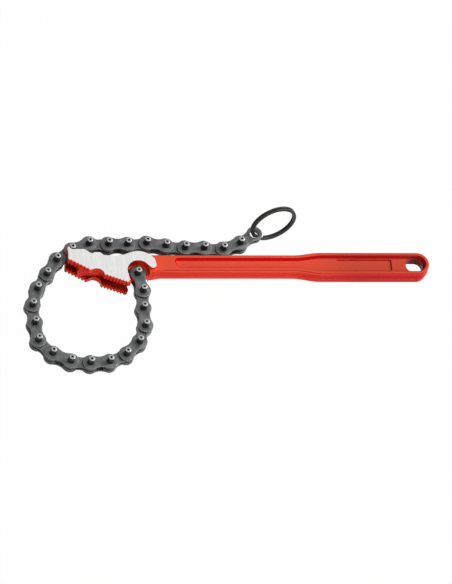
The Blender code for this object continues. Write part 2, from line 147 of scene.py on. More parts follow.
def cloudedMetal(name, metallic, stretch, size, colours, roughness):
    material, tree, shader = startMaterial(name, metallic, sum(roughness) / 2)
    cloud = remap(tree, noiseValue(tree, objectPoints(tree, stretch), size), *noiseSpan, 0, 1)
    tree.links.new(mixColours(tree, cloud, *colours), shader.inputs["Base Color"])
    tree.links.new(remap(tree, cloud, 0, 1, *roughness), shader.inputs["Roughness"])
    return material, tree, shader


# helpers for meshes

def arcPoints(centre, radius, start, end, steps):
    points = []
    for i in range(steps + 1):
        angle = math.radians(start + (end - start) * i / steps)
        points.append((centre[0] + radius * math.cos(angle), centre[1] + radius * math.sin(angle)))
    return points


def circlePoints(centre, radius, steps):
    return arcPoints(centre, radius, 0, 360, steps)[:-1]


def quarterTurns(steps):
    return [math.radians(90 * i / steps) for i in range(steps + 1)]


def easePoints(start, end, steps):
    points = []
    for i in range(steps + 1):
        t = i / steps
        rise = t * t * (3 - 2 * t)
        points.append((start[0] + (end[0] - start[0]) * t, start[1] + (end[1] - start[1]) * rise))
    return points


def smoothThrough(points, steps):
    knots = [Vector(point) for point in points]  # a smooth curve through every point
    knots = [2 * knots[0] - knots[1]] + knots + [2 * knots[-1] - knots[-2]]
    curve = []
    for a, b, c, d in zip(knots, knots[1:], knots[2:], knots[3:]):
        for i in range(steps):
            t = i / steps
            bend = (2 * a - 5 * b + 4 * c - d) * t * t + (3 * b - a - 3 * c + d) * t ** 3
            curve.append(tuple((2 * b + (c - a) * t + bend) / 2))
    return curve + [tuple(points[-1])]


def insetOutline(outline, distance):
    moved = []  # the outline runs against the clock, so inward is to the left
    count = len(outline)
    for i, corner in enumerate(outline):
        here = Vector(corner)
        before = (here - Vector(outline[i - 1])).normalized()
        after = (Vector(outline[(i + 1) % count]) - here).normalized()
        inward = Vector((-before.y - after.y, before.x + after.x)).normalized()
        stretch = 1 / max(inward.dot(Vector((-after.y, after.x))), 0.5)  # sharp corners stay short
        moved.append(tuple(here + inward * distance * stretch))
    return moved


def loftedMesh(name, outline, levels, materials, ends=(0, 0)):
    shape = bmesh.new()  # levels run upwards: (height, inset, material of the band above)
    rings = []
    for height, inset, _ in levels:
        rings.append([shape.verts.new((x, y, height)) for x, y in insetOutline(outline, inset)])
    count = len(outline)
    for level, (low, high) in enumerate(zip(rings, rings[1:])):
        for i in range(count):
            j = (i + 1) % count
            face = shape.faces.new((low[i], low[j], high[j], high[i]))
            face.material_index = levels[level][2]
    shape.faces.new(rings[0][::-1]).material_index = ends[0]
    shape.faces.new(rings[-1]).material_index = ends[1]
    return finishMesh(name, shape, materials)


def placed(name, data):
    item = bpy.data.objects.new(name, data)
    bpy.context.scene.collection.objects.link(item)
    return item


def appliedMesh(item):
    bpy.context.view_layer.update()
    made = bpy.data.meshes.new_from_object(item.evaluated_get(bpy.context.evaluated_depsgraph_get()))
    bpy.data.objects.remove(item)
    return made


def combined(name, base, steps):
    body = placed(name, base)  # steps: (operation, mesh, True for the other side too)
    tools = []
    for operation, mesh, mirrored in steps:
        for side in (1, -1) if mirrored else (1,):
            tool = placed(mesh.name, mesh.copy())
            if side < 0:
                tool.data.transform(Matrix.Scale(-1, 4, (0, 0, 1)))
                tool.data.flip_normals()
            tools.append(tool)
            change = body.modifiers.new(mesh.name, "BOOLEAN")
            change.operation = operation
            change.object = tool
    made = appliedMesh(body)
    for tool in tools:
        bpy.data.objects.remove(tool)
    return made


def evenNormals(name, mesh, smoothAngle):
    mesh.shade_smooth()  # large flat faces keep their own normal beside the rounded edges
    mesh.set_sharp_from_angle(angle=math.radians(smoothAngle))
    body = placed(name, mesh)
    weighted = body.modifiers.new("weighted", "WEIGHTED_NORMAL")
    weighted.keep_sharp = True
    made = appliedMesh(body)
    made.name = name
    return made


def finishMesh(name, shape, materials, smoothAngle=35):
    bmesh.ops.recalc_face_normals(shape, faces=shape.faces)
    mesh = bpy.data.meshes.new(name)
    shape.to_mesh(mesh)
    shape.free()
    for material in materials:
        mesh.materials.append(material)
    mesh.shade_smooth()
    mesh.set_sharp_from_angle(angle=math.radians(smoothAngle))
    return mesh


def platedMesh(name, outlines, low, high, rim, material):
    curve = bpy.data.curves.new(name, "CURVE")  # outline first, then its holes
    curve.dimensions = "2D"
    curve.fill_mode = "BOTH"
    curve.extrude = (high - low) / 2 - rim
    curve.bevel_depth = rim
    curve.bevel_resolution = 2
    curve.offset = -rim
    for outline in outlines:
        spline = curve.splines.new("POLY")
        spline.points.add(len(outline) - 1)
        for point, (x, y) in zip(spline.points, outline):
            point.co = (x, y, 0, 1)
        spline.use_cyclic_u = True
    shape = bmesh.new()
    shape.from_mesh(appliedMesh(placed(name, curve)))
    bmesh.ops.remove_doubles(shape, verts=shape.verts, dist=weldDistance)
    bmesh.ops.translate(shape, verts=shape.verts, vec=(0, 0, (low + high) / 2))
    return finishMesh(name, shape, [material])


def turnedMesh(name, profile, steps, materials):
    shape = bmesh.new()  # profile: (radius, height, material of the band that starts here)
    turns = [2 * math.pi * i / steps for i in range(steps)]
    rows = []
    for radius, height, _ in profile:
        around = turns if radius else turns[:1]
        rows.append([shape.verts.new((radius * math.cos(a), radius * math.sin(a), height)) for a in around])
    for band, (first, second) in enumerate(zip(rows, rows[1:])):
        for i in range(steps):
            j = (i + 1) % steps
            path = ((first, i), (first, j), (second, j), (second, i))
            corners = [row[k % len(row)] for row, k in path]
            face = shape.faces.new(list(dict.fromkeys(corners)))  # a triangle beside an end point
            face.material_index = profile[band][2]
    return finishMesh(name, shape, materials)


def addPiece(name, mesh, body, place=Matrix.Identity(4), replaced=()):
    piece = placed(name, mesh)
    piece.matrix_world = place
    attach(piece, body)
    if replaced:
        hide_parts(*replaced)
    return piece


# camera

camera = {
    "target": (113.5 * mm, -29.9 * mm, 21.5 * mm),
    "azimuth": -25.23,
    "elevation": 59.64,
    "roll": 22.13,
    "distance": 4.038,
    "lens": 308.2,
    "sensorWidth": 36,
    "clipEnd": 20,
}


def makeCamera():
    data = bpy.data.cameras.new("camera")
    data.lens = camera["lens"]
    data.sensor_width = camera["sensorWidth"]
    data.clip_end = camera["clipEnd"]
    turn = Matrix.Rotation(math.radians(camera["azimuth"]), 4, "Z")
    turn @= Matrix.Rotation(math.radians(90 - camera["elevation"]), 4, "X")
    back = turn.col[2].to_3d() * camera["distance"]
    turn @= Matrix.Rotation(math.radians(camera["roll"]), 4, "Z")
    item = placed("camera", data)
    item.matrix_world = Matrix.Translation(Vector(camera["target"]) + back) @ turn
    bpy.context.scene.camera = item


makeCamera()
print("camera placed")


# studio: white floor and backdrop, a soft key light from the right and a weak front fill

studio = {
    "floorColour": (0.93, 0.93, 0.93),
    "floorWhite": 0.98,
    "floorSize": 8.0,
    "skyLight": 0.32,
    "keyPower": 60.0,
    "keySize": 1.6,
    "keyPlace": (2.06, 0.23, 1.71),
    "fillPower": 9.0,
    "fillSize": 0.4,
    "fillPlace": (0.58, -1.9, 1.04),
}


def makeLight(name, place, size, power):
    data = bpy.data.lights.new(name, "AREA")
    data.size = size
    data.energy = power
    item = placed(name, data)
    item.location = place
    toward = Vector(camera["target"]) - item.location
    item.rotation_euler = toward.to_track_quat("-Z", "Y").to_euler()


def seenRays(tree):
    path = addNode(tree, "LightPath")
    seen = mathValue(tree, "MAXIMUM", path.outputs["Is Camera Ray"], path.outputs["Is Glossy Ray"])
    return mathValue(tree, "MAXIMUM", seen, path.outputs["Is Transmission Ray"])


def studioFloor():
    material = bpy.data.materials.new("studioFloor")
    material.use_nodes = True
    tree = material.node_tree
    tree.nodes.remove(tree.nodes["Principled BSDF"])
    shade = addNode(tree, "BsdfDiffuse", Color=(*studio["floorColour"], 1))
    white = addNode(tree, "Emission", Color=(1, 1, 1, 1), Strength=1.0)
    mixed = addNode(tree, "MixShader")
    tree.links.new(mathValue(tree, "MULTIPLY", seenRays(tree), studio["floorWhite"]), mixed.inputs[0])
    tree.links.new(shade.outputs[0], mixed.inputs[1])
    tree.links.new(white.outputs[0], mixed.inputs[2])
    tree.links.new(mixed.outputs[0], tree.nodes["Material Output"].inputs["Surface"])
    return material


def makeStudio():
    half = studio["floorSize"] / 2
    floorZ = cadBox[0][2]
    mesh = bpy.data.meshes.new("floor")
    corners = [(-half, -half, floorZ), (half, -half, floorZ), (half, half, floorZ), (-half, half, floorZ)]
    mesh.from_pydata(corners, [], [(0, 1, 2, 3)])
    mesh.materials.append(studioFloor())
    placed("floor", mesh)

    world = bpy.data.worlds.new("studio")
    bpy.context.scene.world = world
    world.use_nodes = True
    tree = world.node_tree
    background = tree.nodes["Background"]
    background.inputs["Color"].default_value = (1, 1, 1, 1)
    strength = remap(tree, seenRays(tree), 0, 1, studio["skyLight"], 1.0)
    tree.links.new(strength, background.inputs["Strength"])
    makeLight("key", studio["keyPlace"], studio["keySize"], studio["keyPower"])
    makeLight("fill", studio["fillPlace"], studio["fillSize"], studio["fillPower"])
    bpy.context.scene.view_settings.view_transform = "Standard"


makeStudio()
print("studio lit")


# handle forging: red enamel, with both cheeks ground bright on their outer faces

redIndex, steelIndex, slotIndex, recessIndex = range(4)  # places in the forging's list of materials

forging = {
    "shankHalf": 7.5 * mm,
    "edge": 1.0 * mm,
    "draft": 0.35 * mm,
    "seamWidth": 0.45 * mm,
    "seamHeight": 0.28 * mm,
    "seamCrest": 0.2,
    "webHalf": 2.6 * mm,
    "anchorBore": 2.7 * mm,
    "shankLow": 0.0 * mm,
    "shankHigh": 15.7 * mm,
    "gripLow": -2.95 * mm,
    "gripHigh": 18.1 * mm,
    "flareStart": 130.0 * mm,
    "flareEnd": 153.0 * mm,
    "handleEnd": 244.0 * mm,
    "flange": 3.4 * mm,
    "recessDepth": 3.0 * mm,
    "recessFillet": 1.2 * mm,
    "recessSlope": 1.1 * mm,
    "recessLip": 0.45 * mm,
    "recessStart": 31.0 * mm,
    "recessCorner": 2.7 * mm,
    "recessTurn": ((0.2 * mm, 4.85 * mm), (2.7 * mm, 0.8 * mm), (9.0 * mm, 0.0)),
    "throat": (11.2 * mm, 20.0 * mm),
    "throatDrop": 1.5 * mm,
    "root": ((4.0 * mm, 15.7 * mm), (-3.0 * mm, 12.5 * mm)),
    "rootEnd": -14.0 * mm,
    "bossRadius": 6.2 * mm,
    "bossArc": (155, 305),
    "bossFoot": (8.0 * mm, -2.9 * mm),
    "panelStart": 166.4 * mm,
    "panelEnd": 212.4 * mm,
    "panelHalf": 4.9 * mm,
    "panelDepth": 1.3 * mm,
    "panelCorner": 0.7 * mm,
    "panelFillet": 0.3 * mm,
    "panelSlope": 0.3 * mm,
    "panelLip": 0.2 * mm,
    "holeX": 231.5 * mm,
    "holeRadius": 6.4 * mm,
    "holeStretch": 0.8 * mm,
    "holeLip": 0.6 * mm,
    "overcut": 2.0 * mm,
    "smoothAngle": 32,
}

head = {
    "slotHalf": 4.7 * mm,
    "slotEdge": 0.2 * mm,
    "faceLift": 0.3 * mm,
    "faceInset": 0.12 * mm,
    "noseWidth": 4.9 * mm,
    "noseHeight": 13.2 * mm,
    "noseEdge": 1.0 * mm,
    "hornHeight": 2.2 * mm,
    "hornWidth": 1.2 * mm,
    "seatRadius": 2.85 * mm,
    "seatArc": (-90, -165),
    "seatLength": 8.6 * mm,
    "waistTop": 12.8 * mm,
    "waistRises": ((0.23, 0.8 * mm), (0.38, 0.0), (0.53, 0.7 * mm), (0.6, 1.8 * mm)),
    "waistEnd": (0.706, 2.1 * mm),
    "hump": (-6.0 * mm, 15.8 * mm),
    "paintedTeeth": (0.45 * mm, 1.2 * mm, 0.42, 0.14),
    "groundTeeth": (-0.35 * mm, 0.5 * mm, 0.62, 0.2),
    "leftTeeth": 7,
    "leftEnd": (0.778, -0.2 * mm),
    "rightTeeth": 8,
    "rightStart": (0.534, -5.0 * mm),
    "rightEnd": (-10.3 * mm, -11.8 * mm),
    "heel": (-8.9 * mm, -10.6 * mm),
    "heelRadius": 1.6 * mm,
    "heelArc": (-60, 10),
    "faceHeel": ((-9.6 * mm, -11.0 * mm), (-8.1 * mm, -9.3 * mm)),
    "relief": (0.664, -5.4 * mm),
    "reliefRadius": 0.122,
    "reliefArc": (100, 25),
    "archCentre": (0.0, -0.8 * mm),
    "archRadius": 9.3 * mm,
    "archArc": (195, 50),
    "archClearance": 0.05 * mm,
    "pocketFillet": 1.0 * mm,
    "pocketLip": 1.0 * mm,
    "hookRadius": 17.2 * mm,
    "hookArc": (34, 85),
    "hookTop": 93,
    "hookTip": (11.9 * mm, 4.6 * mm),
    "hookTipRadius": 3.0 * mm,
    "hookTipArc": (225, 380.5),
    "coreEnd": 3.15 * mm,
    "coreDrop": 10.0 * mm,
    "coreLow": 1.75 * mm,
    "coreArch": 6.0 * mm,
    "coreStep": 0.5 * mm,
    "coreSlope": 0.4 * mm,
    "coreShares": (0.534, 0.477, 0.325),
}

forgingFinish = {
    "paint": (0.80, 0.078, 0.028),
    "paintDeep": (0.76, 0.055, 0.020),
    "paintPatch": 30 * mm,
    "paintPatchShare": 0.6,
    "gripPaint": (0.58, 0.052, 0.021),
    "gripRange": (125 * mm, 180 * mm),
    # steep walls painted a deeper red as painted shade: shank, then grip
    "outerWallShades": ((0.90, 0.034, 0.011), (0.64, 0.006, 0.004)),
    "outerSteep": (0.35, 0.9),
    "recessWallShades": ((0.60, 0.004, 0.005), (0.42, 0.004, 0.004)),
    "recessSteep": (0.6, 0.98),
    # painted highlight along the top of the side walls
    "ridgeHighlight": (0.95, 0.12, 0.075),
    "ridgeHeight": (4.5 * mm, 5.3 * mm),
    "ridgeStart": (14 * mm, 24 * mm),
    "ridgeShare": (0.85, 0.2),
    # painted dark line of shade on the walls' rounded top edge
    "edgeShade": (0.56, 0.012, 0.008),
    "edgeRise": (0.3, 0.5),
    "edgeFall": (0.9, 0.99),
    # painted shade inside the slot and the hanging hole
    "slotShadePaint": (0.40, 0.014, 0.007),
    "slotShadeDark": (0.18, 0.0063, 0.00315),
    "slotPatch": 3 * mm,
    # painted shade on the arch walls round the anchor pin
    "anchorShade": (0.16, 0.008, 0.006),
    "anchorShadeReach": (9.6 * mm, 10.2 * mm),
    "anchorShadeSide": (-7.0 * mm, 3.0 * mm),
    "anchorShadeShare": 0.9,
    "paintRoughness": (0.25, 0.37),
    "paintRoughnessPatch": 6 * mm,
    "paintSpecular": 0.28,
    "wallSpecular": 0.05,
    "peel": 0.9 * mm,
    "peelDepth": 0.02 * mm,
    "steel": (0.74, 0.74, 0.73),
    "steelDark": (0.48, 0.48, 0.475),
    "steelRoughness": (0.34, 0.54),
    "grain": 0.2 * mm,
    "grainStretch": 0.02,
    "grainShade": 0.55,
    "grainDepth": 0.006 * mm,
    "grainBand": 1.6 * mm,
    "grainBandShade": 0.65,
}


def finishPaint(tree, shader, plain, colour):
    tree.links.new(colour, shader.inputs["Base Color"])
    patches = noiseValue(tree, plain, forgingFinish["paintRoughnessPatch"])
    rough = remap(tree, patches, *noiseSpan, *forgingFinish["paintRoughness"])
    tree.links.new(rough, shader.inputs["Roughness"])
    bumpFrom(tree, shader, noiseValue(tree, plain, forgingFinish["peel"], 2), forgingFinish["peelDepth"])


def levelPaint(tree, plain, gripped):
    patches = noiseValue(tree, plain, forgingFinish["paintPatch"], 3)
    deeper = remap(tree, patches, *patchSpan, 0, forgingFinish["paintPatchShare"])
    paint = mixColours(tree, deeper, forgingFinish["paint"], forgingFinish["paintDeep"])
    return mixColours(tree, gripped, paint, forgingFinish["gripPaint"])


# painted highlight: lighter paint along the top of the shank's side walls
def ridgeHighlighted(tree, along, gripped, shank, wall):
    height = mathValue(tree, "ABSOLUTE", along.outputs["Z"])
    ridge = mathValue(tree, "MULTIPLY", remap(tree, height, *forgingFinish["ridgeHeight"], 0, 1), shank)
    share = remap(tree, gripped, 0, 1, *forgingFinish["ridgeShare"])
    ridge = mathValue(tree, "MULTIPLY", ridge, share)
    return mixColours(tree, ridge, wall, forgingFinish["ridgeHighlight"])


# painted shade: a dark line on the rounded top edge of the side walls
def edgeShaded(tree, level, shank, paint):
    rise = remap(tree, level, *forgingFinish["edgeRise"], 0, 1)
    fall = remap(tree, level, *forgingFinish["edgeFall"], 1, 0)
    rim = mathValue(tree, "MULTIPLY", mathValue(tree, "MULTIPLY", rise, fall), shank)
    return mixColours(tree, rim, paint, forgingFinish["edgeShade"])


# painted shade: the steep walls near the anchor pin are darkened, more on the left
def anchorShaded(tree, along, steep, paint):
    away = addNode(tree, "VectorMath", operation="LENGTH")
    tree.links.new(objectPoints(tree, (1, 1, 0)), away.inputs[0])
    near = remap(tree, away.outputs["Value"], *forgingFinish["anchorShadeReach"], 1, 0)
    side = remap(tree, along.outputs["X"], *forgingFinish["anchorShadeSide"], forgingFinish["anchorShadeShare"], 0)
    shaded = mathValue(tree, "MULTIPLY", mathValue(tree, "MULTIPLY", near, side), steep)
    return mixColours(tree, shaded, paint, forgingFinish["anchorShade"])


def enamel(name, wallShades, steepness, ridged):
    material, tree, shader = startMaterial(name, 0.0, 0.3)
    plain = objectPoints(tree)
    along = addNode(tree, "SeparateXYZ")
    tree.links.new(plain, along.inputs[0])
    gripped = remap(tree, along.outputs["X"], *forgingFinish["gripRange"], 0, 1)  # darker along the grip
    level = levelness(tree)
    steep = remap(tree, level, *steepness, 1, 0)  # steep walls get a deeper red as painted shade
    wall = mixColours(tree, gripped, *wallShades)
    if ridged:  # painted highlight along the side walls' top, painted shade on their rounded edge
        shank = remap(tree, along.outputs["X"], *forgingFinish["ridgeStart"], 0, 1)
        wall = ridgeHighlighted(tree, along, gripped, shank, wall)
    paint = mixColours(tree, steep, levelPaint(tree, plain, gripped), wall)
    if ridged:
        paint = edgeShaded(tree, level, shank, paint)
    paint = anchorShaded(tree, along, steep, paint)  # painted shade darkens the arch round the anchor pin
    finishPaint(tree, shader, plain, paint)
    shine = remap(tree, steep, 0, 1, forgingFinish["paintSpecular"], forgingFinish["wallSpecular"])
    tree.links.new(shine, shader.inputs["Specular IOR Level"])
    return material


def slotShadeEnamel():
    material, tree, shader = startMaterial("slotShadeEnamel", 0.0, 0.4)
    plain = objectPoints(tree)
    # the faces inside the slot and the hanging hole are painted dark red as painted shade, in random
    # patches
    shadePatches = remap(tree, noiseValue(tree, plain, forgingFinish["slotPatch"], 5, 0.6), *patchSpan, 0, 1)
    paint = mixColours(tree, shadePatches, forgingFinish["slotShadePaint"], forgingFinish["slotShadeDark"])
    finishPaint(tree, shader, plain, paint)
    shader.inputs["Specular IOR Level"].default_value = forgingFinish["wallSpecular"]
    return material


def groundSteel():
    material, tree, shader = startMaterial("groundSteel", 0.8, 0.4)
    along = objectPoints(tree, (1, forgingFinish["grainStretch"], 1))
    lines = noiseValue(tree, along, forgingFinish["grain"], 5, 0.7)
    broad = noiseValue(tree, along, forgingFinish["grainBand"], 3, 0.5)
    fine = remap(tree, lines, *noiseSpan, forgingFinish["grainShade"], 1)
    bands = remap(tree, broad, *noiseSpan, forgingFinish["grainBandShade"], 1)
    both = mathValue(tree, "MULTIPLY", fine, bands)
    colour = mixColours(tree, both, forgingFinish["steelDark"], forgingFinish["steel"])
    tree.links.new(colour, shader.inputs["Base Color"])
    rough = remap(tree, lines, *noiseSpan, *forgingFinish["steelRoughness"])
    tree.links.new(rough, shader.inputs["Roughness"])
    bumpFrom(tree, shader, lines, forgingFinish["grainDepth"])
    return material


def toothRow(start, end, count, teeth):
    out, depth, tipShare, rootShare = teeth  # flat-tipped teeth, from the first tip to the last
    step = (Vector(end) - Vector(start)) / (count - 1)
    inward = Vector((-step.y, step.x)).normalized()
    points = []
    for i in range(count):
        tip = Vector(start) + step * i - inward * out
        points.append(tuple(tip - step * tipShare / 2))
        points.append(tuple(tip + step * tipShare / 2))
        if i < count - 1:
            gullet = tip + step / 2 + inward * depth
            points.append(tuple(gullet - step * rootShare / 2))
            points.append(tuple(gullet + step * rootShare / 2))
    return points


def headPoint(seat, place):
    share, height = place  # a share of the way from the anchor to the seat
    return seat.x * share, height


def cheekOutline(seat, painted):
    teeth = head["paintedTeeth"] if painted else head["groundTeeth"]
    nose = seat.x - head["noseWidth"]
    edge = head["noseEdge"]
    seatFloor = seat.y - head["seatRadius"]
    hornTop = seatFloor + head["hornHeight"]
    noseLow = hornTop - head["noseHeight"] + edge
    points = toothRow((nose + edge, noseLow), headPoint(seat, head["leftEnd"]), head["leftTeeth"], teeth)
    relief = headPoint(seat, head["relief"])
    points += arcPoints(relief, -seat.x * head["reliefRadius"], *head["reliefArc"], 18)
    points += toothRow(headPoint(seat, head["rightStart"]), head["rightEnd"], head["rightTeeth"], teeth)
    if painted:
        points += arcPoints(head["heel"], head["heelRadius"], *head["heelArc"], 7)
    else:
        points += list(head["faceHeel"])
    points += arcPoints(head["archCentre"], head["archRadius"], *head["archArc"], 36)
    points += arcPoints(head["hookTip"], head["hookTipRadius"], *head["hookTipArc"], 18)
    points += arcPoints((0, 0), head["hookRadius"], *head["hookArc"], 14)
    top = math.radians(head["hookTop"])
    back = [(head["hookRadius"] * math.cos(top), head["hookRadius"] * math.sin(top)), head["hump"]]
    back += [(seat.x * share, head["waistTop"] + rise) for share, rise in head["waistRises"]]
    share, rise = head["waistEnd"]
    waistEnd = (seat.x * share, head["waistTop"] + rise)
    points += smoothThrough(back + [waistEnd], 5)[:-1]
    points += easePoints(waistEnd, (seat.x + head["seatLength"], seatFloor), 8)
    points += arcPoints(seat, head["seatRadius"], *head["seatArc"], 12)
    points += [(nose + edge + head["hornWidth"], hornTop), (nose + edge, hornTop)]
    points += [(nose, hornTop - edge), (nose + edge / 2, (hornTop + noseLow) / 2)]
    points.append((nose, noseLow + edge))
    return points


def gripRound():
    radius = (forging["gripHigh"] - forging["gripLow"]) / 2
    middle = (forging["gripHigh"] + forging["gripLow"]) / 2
    return radius, middle


def beamOutline(seat):
    left = seat.x + head["coreEnd"]
    high = seat.y - head["coreDrop"]
    low = head["coreLow"]
    arch = head["coreArch"]
    flat, archStart, archEnd = (seat.x * share for share in head["coreShares"])
    points = [(left, low), (flat, low)]
    points += easePoints((archStart, low + head["coreStep"]), (archEnd, arch), 8)
    points.append((-head["archRadius"], arch))
    points += arcPoints((0, 0), forging["bossRadius"], *forging["bossArc"], 20)
    points.append(forging["bossFoot"])
    throatStart, throatEnd = forging["throat"]
    shankLow = forging["shankLow"]
    shankHigh = forging["shankHigh"]
    points += easePoints((throatStart, shankLow - forging["throatDrop"]), (throatEnd, shankLow), 8)
    points += easePoints((forging["flareStart"], shankLow), (forging["flareEnd"], forging["gripLow"]), 14)
    radius, middle = gripRound()
    points += arcPoints((forging["handleEnd"] - radius, middle), radius, -90, 90, 40)
    points += easePoints((forging["flareEnd"], forging["gripHigh"]), (forging["flareStart"], shankHigh), 14)
    points += list(forging["root"])
    points += [(forging["rootEnd"], high + head["coreSlope"]), (left, high)]
    return points


def recessOutline():
    flange = forging["flange"]
    low = forging["shankLow"] + flange
    high = forging["shankHigh"] - flange
    start = forging["flareStart"] + flange / 3  # the recess widens a little later than the outside
    end = forging["flareEnd"] + flange / 3
    points = easePoints((start, low), (end, forging["gripLow"] + flange), 14)
    radius, middle = gripRound()
    points += arcPoints((forging["handleEnd"] - radius, middle), radius - flange, -90, 90, 32)
    points += easePoints((end, forging["gripHigh"] - flange), (start, high), 14)
    corner = forging["recessCorner"]
    first = forging["recessStart"]
    points += arcPoints((first + corner, high - corner), corner, 90, 180, 8)
    points += smoothThrough([(first + x, low + y) for x, y in forging["recessTurn"]], 6)
    return points


def roundedLevels():
    half = forging["shankHalf"]
    edge = forging["edge"]
    seam = forging["seamHeight"]
    upper = [(forging["seamWidth"] / 2, seam * forging["seamCrest"]), (forging["seamWidth"], seam)]
    for turn in quarterTurns(5):
        height = half - edge + edge * math.sin(turn)
        upper.append((height, seam + forging["draft"] * height / half + edge * (1 - math.cos(turn))))
    lower = [(-height, inset) for height, inset in reversed(upper)]
    return [(height, inset, redIndex) for height, inset in lower + [(0, 0)] + upper]


def lipLevels(surface, lip, material):
    levels = []
    for turn in quarterTurns(5):
        levels.append((surface - lip + lip * math.sin(turn), -lip * (1 - math.cos(turn)), material))
    levels.append((surface + forging["overcut"], -lip, material))
    return levels


def sunkLevels(floor, surface, fillet, slope, lip, material):
    levels = []  # a sunk shape: filleted at its floor, rounded where it meets the surface
    for turn in quarterTurns(6):
        inset = slope + fillet * (1 - math.sin(turn))
        levels.append((floor + fillet * (1 - math.cos(turn)), inset, material))
    return levels + lipLevels(surface, lip, material)


def cheekSteps(seat, materials):
    low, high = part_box("handle_forging")
    face = (high.z - low.z) / 2
    lift = head["faceLift"]
    inset = head["faceInset"]
    slot = head["slotHalf"]
    edge = head["slotEdge"]
    levels = [(slot, edge, slotIndex), (slot + edge, 0, redIndex)]
    levels += [(face - lift - inset, 0, redIndex), (face - lift, inset, redIndex)]
    cheek = loftedMesh("cheek", cheekOutline(seat, True), levels, materials, (slotIndex, redIndex))
    levels = [(face - 2 * lift, inset, redIndex)]
    levels += [(face - inset, inset, steelIndex), (face, 2 * inset, steelIndex)]
    ground = loftedMesh("face", cheekOutline(seat, False), levels, materials, (redIndex, steelIndex))
    return [("UNION", cheek, True), ("UNION", ground, True)]


def recessSteps(materials):
    half = forging["shankHalf"]
    floor = half - forging["recessDepth"]
    shape = (forging["recessFillet"], forging["recessSlope"], forging["recessLip"])
    ends = (recessIndex, recessIndex)
    levels = sunkLevels(floor, half, *shape, recessIndex)
    recess = loftedMesh("recess", recessOutline(), levels, materials, ends)

    middle = gripRound()[1]
    corner = forging["panelCorner"]
    wide = (forging["panelEnd"] - forging["panelStart"]) / 2 - corner
    tall = forging["panelHalf"] - corner
    outline = []
    for start, (x, y) in zip((-90, 0, 90, 180), ((1, -1), (1, 1), (-1, 1), (-1, -1))):
        centre = ((forging["panelStart"] + forging["panelEnd"]) / 2 + x * wide, middle + y * tall)
        outline += arcPoints(centre, corner, start, start + 90, 5)
    shape = (forging["panelFillet"], forging["panelSlope"], forging["panelLip"])
    levels = sunkLevels(floor - forging["panelDepth"], floor, *shape, recessIndex)
    panel = loftedMesh("panel", outline, levels, materials, ends)

    holeX = forging["holeX"]
    stretch = forging["holeStretch"]
    hole = arcPoints((holeX + stretch, middle), forging["holeRadius"], -90, 90, 20)
    hole += arcPoints((holeX - stretch, middle), forging["holeRadius"], 90, 270, 20)
    upper = lipLevels(floor, forging["holeLip"], slotIndex)
    lower = [(-height, spread, slotIndex) for height, spread, _ in reversed(upper)]
    hanging = loftedMesh("hangingHole", hole, lower + upper, materials)
    return [("DIFFERENCE", recess, True), ("DIFFERENCE", panel, True), ("DIFFERENCE", hanging, False)]


def makeForging():
    outside = enamel("redEnamel", forgingFinish["outerWallShades"], forgingFinish["outerSteep"], True)
    inside = enamel("recessEnamel", forgingFinish["recessWallShades"], forgingFinish["recessSteep"], False)
    materials = [outside, groundSteel(), slotShadeEnamel(), inside]
    anchor = Vector(joints["link_01"]["pos_m"])
    seat = (Vector(joints["link_17"]["pos_m"]) - anchor).to_2d()
    web = forging["webHalf"]

    beam = loftedMesh("beam", beamOutline(seat), roundedLevels(), materials)
    circle = circlePoints(head["archCentre"], head["archRadius"] + head["archClearance"], 72)
    levels = sunkLevels(web, forging["shankHalf"], head["pocketFillet"], 0, head["pocketLip"], redIndex)
    pocket = loftedMesh("pocket", circle, levels, materials)
    levels = [(-2 * web, 0, redIndex), (2 * web, 0, redIndex)]
    bore = loftedMesh("anchorBore", circlePoints((0, 0), forging["anchorBore"], 36), levels, materials)
    steps = [("DIFFERENCE", pocket, True)] + cheekSteps(seat, materials)
    steps += recessSteps(materials) + [("DIFFERENCE", bore, False)]

    mesh = evenNormals("handle_forging_dressed", combined("forging", beam, steps), forging["smoothAngle"])
    addPiece(mesh.name, mesh, "handle", Matrix.Translation(anchor), ["handle_forging"])


makeForging()
print("forging cut, painted and ground")


# chain: blued plates, black pins with bright dimpled ends, and bushes

blackIndex, brightIndex = range(2)  # places in the pin's list of materials

chain = {
    "endRadius": 6.5 * mm,
    "waist": 9.2 * mm,
    "innerPlate": 1.45 * mm,
    "outerPlate": 1.4 * mm,
    "innerWidth": 5.2 * mm,
    "gap": 0.3 * mm,
    "rim": 0.28 * mm,
    "pinRadius": 2.5 * mm,
    "pinLength": 22.0 * mm,
    "pinHole": 2.62 * mm,
    "bushRadius": 3.6 * mm,
    "ringHole": 4.0 * mm,
    "pinEdge": 0.42 * mm,
    "pinEdgeShare": 0.3,
    "dimple": 0.92 * mm,
    "dimpleDepth": 1.1 * mm,
    "dimpleFoot": (0.6, 0.85),
    "dimpleLip": (1.12, 0.2 * mm),
    "links": 26,
    "steel": (0.150, 0.154, 0.156),
    "steelDark": (0.098, 0.101, 0.103),
    # painted highlight on the plates' rolled edges
    "steelEdgeHighlight": (0.40, 0.40, 0.39),
    # painted shade: the plates' upright sides are black
    "steelSideShade": (0.016, 0.016, 0.017),
    "steelPatch": 5 * mm,
    "edgeSpeckle": 0.7 * mm,
    "edgeSpeckleShare": 0.35,
    "edgeRise": (0.4, 0.7),
    "edgeFall": (0.8, 0.98),
    "sideTilt": (0.12, 0.4),
    "sheenPatch": 1.6 * mm,
    "steelRoughness": (0.36, 0.52),
    "pitting": 0.35 * mm,
    "pittingDepth": 0.01 * mm,
    "pinCloud": 0.5 * mm,
    "pinStreaks": (1, 1, 0.1),
    "pinBlack": ((0.006, 0.006, 0.007), (0.016, 0.016, 0.017)),
    "pinBlackRoughness": (0.32, 0.5),
    "pinBlackSpecular": 0.25,
    "pinBright": ((0.26, 0.26, 0.25), (0.42, 0.42, 0.41)),
    "pinBrightRoughness": (0.3, 0.45),
}


